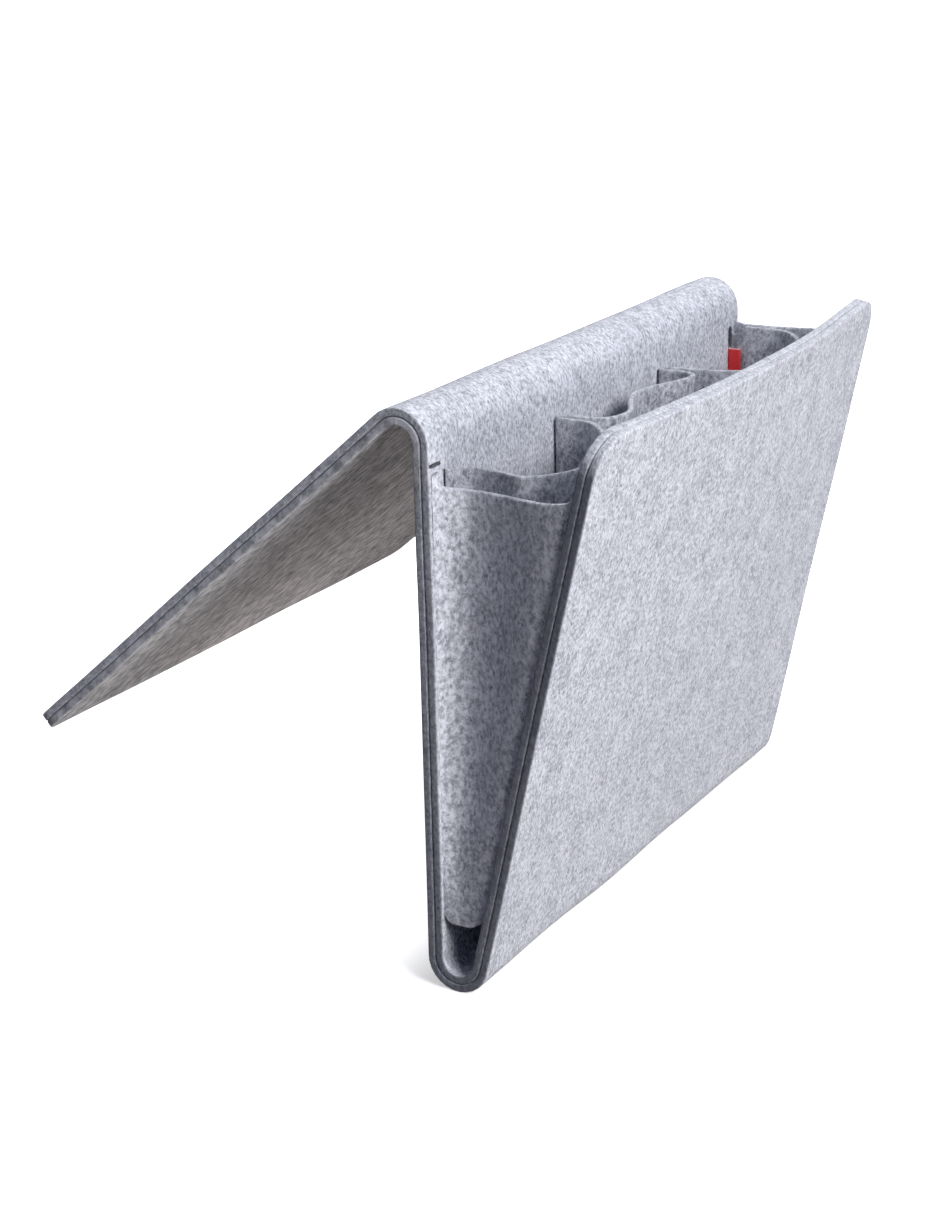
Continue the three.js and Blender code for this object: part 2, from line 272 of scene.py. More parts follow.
@dataclass(frozen=True)
class CutEdge:
    """How a felt sheet's cut edge is rounded."""

    radius: float = 0.75
    shares: tuple[float, ...] = (0.0, 0.03, 0.12, 0.28, 0.55, 1.0, 1.7, 3.2)

    def stations(self) -> Array:
        """Distances from the cut edge where the sheet has points."""
        return self.radius * np.array(self.shares)

    def half_thickness(self, depth: Array, half: float) -> Array:
        """Half the sheet's thickness: a quarter circle of the edge's radius, then the full half.

        Args:
            depth: distance from the cut edge.
            half: half the thickness away from the edge.

        Returns:
            Half the thickness at each distance.
        """
        inward = self.radius - np.clip(depth, 0.0, self.radius)
        return half - self.radius + np.sqrt(np.maximum(self.radius**2 - inward**2, 0.0))


@dataclass(frozen=True)
class StripCut:
    """A flat strip of felt with one free end, whose two corners are rounded.

    The run is counted from the free end.
    """

    half_width: float
    length: float
    corner: float
    # painted shade on the long cut sides: pairs of run and amount
    edge_shade: tuple[tuple[float, float], ...]
    step: float = 2.6
    hem: float = 0.02
    corner_points: int = 12
    shade_from: float = 0.3
    shade_depth: float = 1.5
    edge: CutEdge = CutEdge()

    def half_extent(self, run: Array) -> Array:
        """Half the strip's width along the run: less inside the corners' quarter circles."""
        short = np.clip(self.corner - run, 0.0, self.corner)
        return self.half_width - self.corner + np.sqrt(self.corner**2 - short**2)

    def depth(self, across: Array, run: Array) -> Array:
        """Distance to the nearest cut edge: to a side, to the free end, or to a corner's quarter circle.

        Args:
            across: distance across the strip, from its middle.
            run: distance from the free end.

        Returns:
            The distance at each point.
        """
        sideways = np.abs(across) - self.half_width + self.corner
        endways = self.corner - run
        arc = np.hypot(np.maximum(sideways, 0.0), np.maximum(endways, 0.0))
        return np.maximum(self.corner - arc - np.minimum(np.maximum(sideways, endways), 0.0), 0.0)

    def beside(self, across: Array, run: Array) -> Array:
        """Painted shade on the long cut sides: full on them, none a little way in, fading out round the
        corners.

        Args:
            across: distance across the strip, from its middle.
            run: distance from the free end.

        Returns:
            The painted shade at each point, from 0 to 1.
        """
        inward = self.half_extent(run) - np.abs(across)
        runs, amounts = zip(*self.edge_shade)
        fading = smooth_step(self.shade_from * self.corner, self.corner, run) * np.interp(run, runs, amounts)
        return (1.0 - smooth_step(0.0, self.shade_depth * self.edge.radius, inward)) * fading

    def grid(self) -> tuple[Array, Array]:
        """The strip's points: rows along the run, close together at the edges and round the corners.

        Returns:
            Distance across and along the run, each rows by columns.
        """
        near = self.edge.stations()
        turn = np.linspace(0.0, np.pi / 2, self.corner_points)
        arc = self.corner * (1.0 - np.sin(turn))
        along = spaced(self.corner, self.length, self.step)
        rows = np.unique(np.round(np.concatenate([near, arc, along, [self.length - self.hem]]), DIGITS))
        inner = spaced(near[-1] - self.half_width, self.half_width - near[-1], self.step)
        stations = [near - self.half_width, inner, self.half_width - near]
        columns = np.unique(np.round(np.concatenate(stations), DIGITS))
        run = np.repeat(rows[:, None], len(columns), axis=1)
        across = self.half_extent(run) * (columns / self.half_width)[None, :]
        return across, run


def felt_sheet(name: str, surface: Surface, cut: StripCut, half: float) -> bpy.types.Object:
    """A felt sheet of one strip: the cut's grid carried on to the surface, half the thickness to each side.

    Args:
        name: the piece's name.
        surface: gives the points for distances across, along the run and off the sheet's middle.
        cut: the strip's flat shape.
        half: half the felt's thickness.

    Returns:
        The sheet.
    """
    across, run = cut.grid()
    depth = cut.depth(across, run)
    thick = cut.edge.half_thickness(depth, half)
    # the side mark carries the painted shade of the long cut edges
    marks = {"rim": depth, "side": cut.beside(across, run)}
    return thick_sheet(name, partial(surface, across, run), thick, marks)


class Signal:
    """A socket of a node. Arithmetic on it adds Math nodes."""

    def __init__(self, nodes: "Nodes", socket: bpy.types.NodeSocket) -> None:
        """Keeps the socket and the nodes that it belongs to."""
        self.nodes = nodes
        self.socket = socket

    def __add__(self, other: "Signal | float") -> "Signal":
        """This value and another, added."""
        return self.nodes.math("ADD", self, other)

    def __radd__(self, other: float) -> "Signal":
        """A number and this value, added."""
        return self.nodes.math("ADD", other, self)

    def __sub__(self, other: "Signal | float") -> "Signal":
        """This value less another."""
        return self.nodes.math("SUBTRACT", self, other)

    def __rsub__(self, other: float) -> "Signal":
        """A number less this value."""
        return self.nodes.math("SUBTRACT", other, self)

    def __mul__(self, other: "Signal | float") -> "Signal":
        """This value times another."""
        return self.nodes.math("MULTIPLY", self, other)

    def __rmul__(self, other: float) -> "Signal":
        """A number times this value."""
        return self.nodes.math("MULTIPLY", other, self)

    def __abs__(self) -> "Signal":
        """This value without its sign."""
        return self.nodes.math("ABSOLUTE", self)

    def between(self, low: float, high: float) -> "Signal":
        """A smooth rise from 0 at low to 1 at high."""
        settings = {"interpolation_type": "SMOOTHSTEP"}
        sockets = {"Value": self, 1: low, 2: high, 3: 0.0, 4: 1.0}
        return self.nodes.node("ShaderNodeMapRange", settings, sockets)


class Nodes:
    """A node tree in the making. One method adds any kind of node to it."""

    def __init__(self, tree: bpy.types.NodeTree) -> None:
        """Keeps the tree."""
        self.tree = tree

    @staticmethod
    def set_stops(elements: bpy.types.ColorRampElements, stops: Stops) -> None:
        """Gives a ramp its stops.

        Args:
            elements: the ramp's own stops, no more of them than there are wanted.
            stops: position and colour of each stop.
        """
        while len(elements) < len(stops):
            elements.new(1.0)
        for element, (position, colour) in zip(elements, stops):
            element.position = position
            element.color = (*colour, 1.0)

    def node(self, kind: str, settings: Mapping[str, Any], sockets: Mapping[Any, Any],
             output: "str | int" = 0) -> Signal:
        """Adds a node.

        Args:
            kind: the node's type.
            settings: its settings, a ramp's stops among them, which are set first.
            sockets: values or links of its sockets, by name or number.
            output: name or number of the socket that is wanted.

        Returns:
            The wanted socket.
        """
        made = self.tree.nodes.new(kind)
        for key, value in settings.items():
            if key == "stops":
                self.set_stops(made.color_ramp.elements, value)
            else:
                setattr(made, key, value)
        for key, value in sockets.items():
            if isinstance(value, Signal):
                self.tree.links.new(value.socket, made.inputs[key])
            else:
                made.inputs[key].default_value = value
        return Signal(self, made.outputs[output])

    def math(self, operation: str, *values: "Signal | float") -> Signal:
        """One Math node on values and numbers."""
        return self.node("ShaderNodeMath", {"operation": operation}, dict(enumerate(values)))

    def axis(self, place: Signal, name: str) -> Signal:
        """One coordinate of a place: X, Y or Z."""
        return self.node("ShaderNodeSeparateXYZ", {}, {"Vector": place}, name)


class Paint(Nodes):
    """A material in the making: the few kinds of step that the finishes are made of."""

    def __init__(self, name: str, shader: Mapping[str, Any]) -> None:
        """Starts a material with one shader, whose even values are set on its own sockets.

        Args:
            name: the material's name.
            shader: values of the shader's sockets, by name.
        """
        self.material = bpy.data.materials.new(name)
        self.material.use_nodes = True
        super().__init__(self.material.node_tree)
        self.shader = self.tree.nodes["Principled BSDF"]
        for socket, value in shader.items():
            self.shader.inputs[socket].default_value = value

    def place(self) -> Signal:
        """The place on the piece, from the piece's origin."""
        return self.node("ShaderNodeTexCoord", {}, {}, "Object")

    def mark(self, name: str) -> Signal:
        """A value that the piece's points carry."""
        return self.node("ShaderNodeAttribute", {"attribute_name": name}, {}, "Fac")

    def noise(self, place: Signal, scale: float, detail: float = 2.0, roughness: float = 0.5) -> Signal:
        """Cloudy noise from 0 to 1 about 0.5, with so many clouds a metre."""
        sockets = {"Vector": place, "Scale": scale, "Detail": detail, "Roughness": roughness}
        return self.node("ShaderNodeTexNoise", {}, sockets, "Fac")

    def shifted(self, place: Signal, shift: Point) -> Signal:
        """The same place moved, so that two patterns don't fall together."""
        return self.node("ShaderNodeMapping", {}, {"Vector": place, "Location": shift})

    def mix(self, share: "Signal | float", first: "Signal | Colour", second: "Signal | Colour") -> Signal:
        """A colour between two.

        Args:
            share: share of the way from the first to the second.
            first: the first colour.
            second: the second colour.

        Returns:
            The mixed colour.
        """
        ends = {6: first, 7: second}
        sockets = {key: end if isinstance(end, Signal) else (*end, 1.0) for key, end in ends.items()}
        return self.node("ShaderNodeMix", {"data_type": "RGBA"}, {0: share, **sockets}, 2)

    def connect(self, socket: str, value: Signal) -> None:
        """Feeds one of the shader's sockets."""
        self.tree.links.new(value.socket, self.shader.inputs[socket])

    def bump(self, height: Signal, strength: float, distance: float) -> None:
        """Raises the surface's shading by a height."""
        sockets = {"Height": height, "Strength": strength, "Distance": distance}
        self.connect("Normal", self.node("ShaderNodeBump", {}, sockets, "Normal"))


@dataclass(frozen=True)
class Strands:
    """Thin winding fibres that are scattered through the felt."""

    scale: float
    width: float
    shift: Point

    def lines(self, paint: Paint, place: Signal) -> Signal:
        """The fibres' lines: where a cloudy noise passes through its middle value."""
        cloud = paint.noise(paint.shifted(place, self.shift), self.scale, roughness=0.55)
        return 1.0 - abs(cloud - NOISE_MIDDLE).between(0.0, self.width)


@dataclass(frozen=True)
class FeltFinish:
    """Heather felt: light and grey fibres in soft clouds, dark fibres all through, darker cut edges with
    painted shade on the upright ones, a painted highlight on the rims.
    """

    name: str
    light: Colour = (0.79, 0.80, 0.875)
    grey: Colour = (0.285, 0.30, 0.36)
    dark: Colour = (0.10, 0.11, 0.155)
    pale: Colour = (0.86, 0.865, 0.90)
    cut: Colour = (0.05, 0.055, 0.085)
    grain: Point = (1.0, 0.66, 0.66)
    flecks: float = 760.0
    clouds: float = 110.0
    fleck_weight: float = 0.8
    cloud_weight: float = 0.2
    tone_range: Range = (0.34, 0.66)
    dark_strands: Strands = Strands(300.0, 0.045, (0.3, 0.9, 0.1))
    dark_weight: float = 0.66
    gathers: float = 210.0
    gather_shift: Point = (0.7, 0.2, 0.4)
    gather_range: Range = (0.47, 0.66)
    pale_strands: Strands = Strands(380.0, 0.05, (0.5, 0.4, 0.8))
    pale_weight: float = 0.4
    specks_by_flecks: float = 0.62
    speck_shift: Point = (0.2, 0.6, 0.9)
    speck_range: Range = (0.62, 0.74)
    speck_weight: float = 0.5
    rim_range: Range = (0.0, 0.35)
    rim_share: float = 0.15
    # share of the cut colour painted as shade on the upright cut edges
    side_shade_share: float = 0.85
    # a pale painted highlight along the rims, where fibres catch the light
    rim_highlight_range: Range = (0.8, 1.9)
    rim_highlight_share: float = 0.12
    relief: tuple[float, float, float] = (0.7, 0.25, 0.3)
    bump_strength: float = 0.55
    bump_depth: float = 0.0006

    def material(self) -> bpy.types.Material:
        """The felt's material.

        Returns:
            A rough material with a faint sheen, whose colour and bump come from the same fibres.
        """
        shader = {
            "Roughness": 0.96,
            "Sheen Weight": 0.18,
            "Sheen Roughness": 0.6,
            "Specular IOR Level": 0.15,
        }
        paint = Paint(self.name, shader)
        place = paint.node("ShaderNodeMapping", {}, {"Vector": paint.place(), "Scale": self.grain})
        rim = paint.mark("rim")
        side = paint.mark("side")
        cloud = paint.noise(place, self.clouds, detail=3.0)
        fleck = paint.noise(place, self.flecks, detail=4.0, roughness=0.62)
        gather_place = paint.shifted(place, self.gather_shift)
        gather = paint.noise(gather_place, self.gathers, detail=3.0, roughness=0.6)
        dark_fibres = self.dark_strands.lines(paint, place)
        pale_fibres = self.pale_strands.lines(paint, place)
        tone = (fleck * self.fleck_weight + cloud * self.cloud_weight).between(*self.tone_range)
        colour = paint.mix(tone, self.grey, self.light)
        dark_share = dark_fibres * gather.between(*self.gather_range) * self.dark_weight
        colour = paint.mix(dark_share, colour, self.dark)
        colour = paint.mix(pale_fibres * self.pale_weight, colour, self.pale)
        specks = paint.noise(paint.shifted(place, self.speck_shift), self.specks_by_flecks * self.flecks)
        colour = paint.mix(specks.between(*self.speck_range) * self.speck_weight, colour, self.dark)
        # the cut colour on all rims, and more on the upright cut edges as painted shade
        cut_and_shade_share = (1.0 - rim.between(*self.rim_range)) * self.rim_share + side * self.side_shade_share
        colour = paint.mix(cut_and_shade_share, colour, self.cut)
        # painted highlight: the pale colour near the rims, except on the shaded upright edges
        rim_highlight = (1.0 - rim.between(*self.rim_highlight_range)) * (1.0 - side) * self.rim_highlight_share
        paint.connect("Base Color", paint.mix(rim_highlight, colour, self.pale))
        fleck_height, dark_height, pale_height = self.relief
        height = fleck * fleck_height + dark_fibres * dark_height + pale_fibres * pale_height
        paint.bump(height, self.bump_strength, self.bump_depth)
        return paint.material


BODY_FELT = FeltFinish("body_felt")
LINING_FELT = FeltFinish("lining_felt", light=(0.86, 0.87, 0.94), grey=(0.32, 0.33, 0.385),
                         grain=(1.0, 1.0, 0.8), flecks=460.0, rim_share=0.0, rim_highlight_share=0.1)
# a darker copy of the lining felt: painted shade on the strip inside the pocket
SHADED_STRIP_FELT = replace(LINING_FELT, name="shaded_strip_felt", light=(0.63, 0.64, 0.70), grey=(0.215, 0.225, 0.267))
UNDER_FELT = FeltFinish("under_felt", light=(0.87, 0.875, 0.93), grey=(0.19, 0.195, 0.225),
                        grain=(1.0, 0.6, 0.6), flecks=260.0, clouds=70.0)


@dataclass(frozen=True)
class RibbonFinish:
    """Woven ribbon: fine ribs across its length, a little paler on their crests, and a pale cut edge."""

    name: str
    crest: Colour = (0.92, 0.03, 0.035)
    hollow: Colour = (0.55, 0.008, 0.014)
    frayed: Colour = (0.9, 0.62, 0.6)
    ribs: float = 1500.0
    rib_weight: float = 0.6
    threads: float = 2600.0
    thread_weight: float = 0.4
    frayed_range: Range = (0.1, 0.7)
    frayed_share: float = 0.7
    bump_strength: float = 0.4
    bump_depth: float = 0.0002

    def material(self) -> bpy.types.Material:
        """The ribbon's material: a sine of the height makes its ribs.

        Returns:
            A rough material, whose colour and bump come from the same ribs and threads.
        """
        paint = Paint(self.name, {"Roughness": 0.62, "Sheen Weight": 0.2})
        place = paint.place()
        rib = paint.math("SINE", paint.axis(place, "Z") * (2.0 * math.pi * self.ribs)) * 0.5 + 0.5
        share = rib * self.rib_weight + paint.noise(place, self.threads) * self.thread_weight
        colour = paint.mix(share, self.hollow, self.crest)
        fray = (1.0 - paint.mark("rim").between(*self.frayed_range)) * self.frayed_share
        paint.connect("Base Color", paint.mix(fray, colour, self.frayed))
        paint.bump(share, self.bump_strength, self.bump_depth)
        return paint.material


@dataclass(frozen=True)
class ThreadFinish:
    """Dark sewing thread with a dull twist."""

    name: str
    light: Colour = (0.09, 0.092, 0.11)
    dark: Colour = (0.022, 0.022, 0.028)
    twists: float = 2200.0
    twist_range: Range = (0.35, 0.65)
    bump_strength: float = 0.5
    bump_depth: float = 0.0003

    def material(self) -> bpy.types.Material:
        """The thread's material.

        Returns:
            A rough material, whose colour and bump come from the same twist.
        """
        paint = Paint(self.name, {"Roughness": 0.75, "Sheen Weight": 0.1})
        twist = paint.noise(paint.place(), self.twists, detail=3.0)
        paint.connect("Base Color", paint.mix(twist.between(*self.twist_range), self.dark, self.light))
        paint.bump(twist, self.bump_strength, self.bump_depth)
        return paint.material


@dataclass(frozen=True)
class FloorFinish:
    """A pale studio floor, lit from within, but less along the caddy's foot: painted shade there, deepened
    by the real shadow.
    """

    name: str
    colour: Colour = (0.9, 0.9, 0.9)
    # glow along the foot: painted shade
    foot_glow: float = 0.47
    foot_middle: float = -0.085
    foot_reach: Range = (0.40, 0.08)
    foot_fade: Range = (0.8, 1.8)

    def material(self) -> bpy.types.Material:
        """The floor's material: its glow rises from the foot out, by the squared distance in an ellipse.

        Returns:
            A dull pale material that glows.
        """
        shader = {
            "Base Color": (*self.colour, 1.0),
            "Roughness": 0.9,
            "Specular IOR Level": 0.0,
            "Emission Strength": 1.0,
        }
        paint = Paint(self.name, shader)
        place = paint.place()
        along = paint.axis(place, "X") * (1.0 / self.foot_reach[0])
        beside = (paint.axis(place, "Y") - self.foot_middle) * (1.0 / self.foot_reach[1])
        away = (along * along + beside * beside).between(*self.foot_fade)
        # the dimmer glow round the foot is painted shade
        foot = (self.foot_glow, self.foot_glow, self.foot_glow)
        paint.connect("Emission Color", paint.mix(away, foot, WHITE))
        return paint.material


@dataclass
class FeltBody:
    """The body: two felt plies from the flap over the ridge, down the back, round the bend, up the front."""

    length: float = 320.0
    height: float = 260.0
    ply: float = 3.6
    ply_gap: float = 0.3
    ridge_radius: float = 11.5
    bend_radius: float = 11.0
    flap_run: float = 254.0
    flap_slope: float = 42.0
    flap_corner: float = 7.0
    back_lean: float = 1.3
    front_run: float = 251.5
    front_lean: float = 11.5
    front_corner: float = 19.0
    front_bow: float = 9.0
    front_skew: float = 2.0
    ridge_tail: float = 22.0
    swell: float = 0.3
    swell_length: float = 95.0
    swell_seed: int = 4
    swell_fade: Range = (10.0, 60.0)
    # painted shade on the long cut edges: at the free end, at the end of the flap or front, and at the
    # parting
    flap_edge_shade: tuple[float, float, float] = (0.0, 0.05, 0.4)
    front_edge_shade: tuple[float, float, float] = (0.9, 0.75, 0.4)

    @property
    def half_length(self) -> float:
        """Half the caddy's length."""
        return self.length / 2

    @property
    def half_thickness(self) -> float:
        """Half the thickness of both plies."""
        return self.ply + self.ply_gap / 2

    @property
    def ridge_top(self) -> float:
        """Height of the ridge's top above its axis."""
        return self.ridge_radius + self.half_thickness

    @property
    def mouth_angle(self) -> float:
        """Angle between the back and the front, in degrees."""
        return self.front_lean + self.back_lean

    @property
    def back_run(self) -> float:
        """Length of the back between the two folds: what the height leaves, along the lean."""
        lean = math.radians(self.back_lean)
        upright = self.height - self.ridge_radius - self.bend_radius - 2 * self.half_thickness
        return ((self.ridge_radius + self.bend_radius) * math.sin(lean) + upright) / math.cos(lean)

    @property
    def pocket_face(self) -> float:
        """Y of the back's pocket side, in the back's own frame."""
        return -self.ridge_top

    @property
    def bend_centre(self) -> tuple[float, float]:
        """Y and Z of the bend's axis, in the back's own frame."""
        return -self.ridge_radius - self.bend_radius, -self.back_run

    @property
    def marks(self) -> tuple[float, float, float, float, float]:
        """Lengths along the body's middle, from the flap's free edge to the end of each stretch."""
        ridge = self.flap_run + self.ridge_radius * math.radians(90.0 + self.flap_slope - self.back_lean)
        back = ridge + self.back_run
        bend = back + self.bend_radius * math.radians(180.0 - self.mouth_angle)
        return self.flap_run, ridge, back, bend, bend + self.front_run

    @property
    def parting(self) -> float:
        """Length along the body's middle where the upper strips end and the lower strips begin."""
        return self.marks[1] + self.ridge_tail

    def strip_run(self, upper: bool) -> float:
        """Length of an upper or a lower strip."""
        return self.parting if upper else self.marks[-1] - self.parting

    def front_out(self, across: Array) -> Array:
        """How far the front stands out for each millimetre up: a bow less a skew, over the front's run."""
        along = across / self.half_length
        return (self.front_bow * (1.0 - along * along) - self.front_skew * along) / self.front_run

    def at(self, across: Array, length: Array, offset: Array) -> Array:
        """Points of the body by the length along its middle and the offset from it, pocket side positive.

        The flap is a plane turned down by its slope, each fold an arc about its axis, and the back a plane
        turned by its lean. The front is a plane turned out by the mouth's angle, and stands out further with
        the bow.

        Args:
            across: X.
            length: length along the body's middle, from the flap's free edge.
            offset: distance from the middle.

        Returns:
            X, Y and Z on the last axis.
        """
        flap_end, ridge_end, back_end, bend_end, _ = self.marks
        centre_y, centre_z = self.bend_centre
        flap = turned(self.flap_run - length, self.ridge_radius + offset, -self.flap_slope)
        ridge_angle = math.radians(90.0 - self.flap_slope) + (length - flap_end) / self.ridge_radius
        ridge_arm = self.ridge_radius + offset
        ridge = ridge_arm * np.cos(ridge_angle), ridge_arm * np.sin(ridge_angle)
        back = turned(-self.ridge_radius - offset, ridge_end - length, -self.back_lean)
        bend_angle = -(length - back_end) / self.bend_radius
        bend_arm = self.bend_radius - offset
        bend = turned(centre_y + bend_arm * np.cos(bend_angle), centre_z + bend_arm * np.sin(bend_angle),
                      -self.back_lean)
        up = length - bend_end
        stand = offset - self.bend_radius - self.front_out(across) * up
        front_y, front_z = turned(stand, up, self.mouth_angle)
        front = turned(centre_y + front_y, centre_z + front_z, -self.back_lean)
        stretches = [flap, ridge, back, bend, front]
        chosen = [length < end for end in (flap_end, ridge_end, back_end, bend_end)]
        chosen.append(length >= bend_end)
        y, z = (np.select(chosen, [stretch[i] for stretch in stretches]) for i in range(2))
        return np.stack([across, y, z], axis=-1)

    def pocket_depth(self, z: Array, out: Array) -> Array:
        """Depth of the pocket at a height in the back's frame, where the front stands out by a given slope.

        The front's inner face is a line in the side view: it is followed up to that height.

        Args:
            z: the height.
            out: how far the front stands out for each millimetre up it.

        Returns:
            The depth at each height.
        """
        angle = math.radians(self.mouth_angle)
        centre_y, centre_z = self.bend_centre
        inner = self.bend_radius - self.half_thickness
        up = (z - centre_z + inner * math.sin(angle)) / (math.cos(angle) - out * math.sin(angle))
        face = centre_y - (inner + out * up) * math.cos(angle) - up * math.sin(angle)
        return self.pocket_face - face

    def from_back(self, x: Array, y: Array, z: Array) -> Array:
        """Points of the back's own frame, turned by its lean."""
        lean_y, lean_z = turned(y, z, -self.back_lean)
        return np.stack([x, lean_y, lean_z], axis=-1)

    def world_point(self, y: float, z: float) -> Point:
        """One point of the back's frame at mid-length, in metres."""
        lean_y, lean_z = turned(y, z, -self.back_lean)
        return 0.0, float(lean_y) * MM, float(lean_z) * MM

    def strip(self, name: str, ply: Ply, upper: bool) -> bpy.types.Object:
        """One ply's upper strip, from the flap to below the ridge, or its lower, from there to the front.

        Both strips swell alike in both plies, so that the plies never touch.

        Args:
            name: the piece's name.
            ply: the ply.
            upper: whether it is the upper strip.

        Returns:
            The strip.
        """
        total = self.marks[-1]
        middle = ply.value * (self.ply_gap + self.ply) / 2
        run = self.strip_run(upper)
        # painted shade on this strip's long cut edges
        edge_shading = self.flap_edge_shade if upper else self.front_edge_shade
        ends = (0.0, self.flap_run, run) if upper else (0.0, self.front_run, run)
        corner = self.flap_corner if upper else self.front_corner
        cut = StripCut(self.half_length, run, corner, tuple(zip(ends, edge_shading)))

        def surface(across: Array, along: Array, off: Array) -> Array:
            """The body's points, off by the ply's middle and by a swell that dies out at the parting."""
            length = along if upper else total - along
            flat = smooth_step(*self.swell_fade, np.abs(length - self.parting))
            swell = self.swell * flat * waviness(across, length, self.swell_length, self.swell_seed)
            return self.at(across, length, middle + off + swell)

        return felt_sheet(name, surface, cut, self.ply / 2)

    def build(self, felt: bpy.types.Material, under_felt: bpy.types.Material) -> list[bpy.types.Object]:
        """Args:
            felt: the body's felt.
            under_felt: the felt of the ply that lies on the bed.

        Returns:
            The strips.
        """
        centre_y, centre_z = self.bend_centre
        flap_start = self.at(np.zeros(1), np.array([self.marks[0]]), np.zeros(1))[0] * MM
        back_top = self.world_point(-self.ridge_radius, 0.0)
        back_bottom = self.world_point(-self.ridge_radius, -self.back_run)
        angle = math.radians(self.mouth_angle)
        front_bottom = self.world_point(centre_y - self.bend_radius * math.cos(angle),
                                        centre_z - self.bend_radius * math.sin(angle))
        plans = [
            ("flap_and_ridge_top_ply", Ply.POCKET, True, ("flap_top_ply", "ridge_outer_ply")),
            ("flap_and_ridge_under_ply", Ply.BED, True, ("flap_under_ply", "ridge_inner_ply")),
            ("back_and_front_pocket_ply", Ply.POCKET, False,
             ("back_pocket_ply", "bend_inner_ply", "front_inner_ply")),
            ("back_and_front_bed_ply", Ply.BED, False,
             ("back_bed_ply", "bend_outer_ply", "front_outer_ply")),
        ]
        made = []
        for name, ply, upper, nodes in plans:
            strip = self.strip(name, ply, upper)
            strip.data.materials.append(under_felt if upper and ply is Ply.BED else felt)
            if upper:
                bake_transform(strip)
            else:
                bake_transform(strip)
            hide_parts(*nodes)
            run = self.strip_run(upper)
            run * MM
            made.append(strip)
        return made


@dataclass(frozen=True)
class GussetEnd:
    """How one gusset hangs: its side, the drop to its upper corners, its upper edge's dip and its fold."""

    side: Side
    drop: float
    dip: float
    fold: float


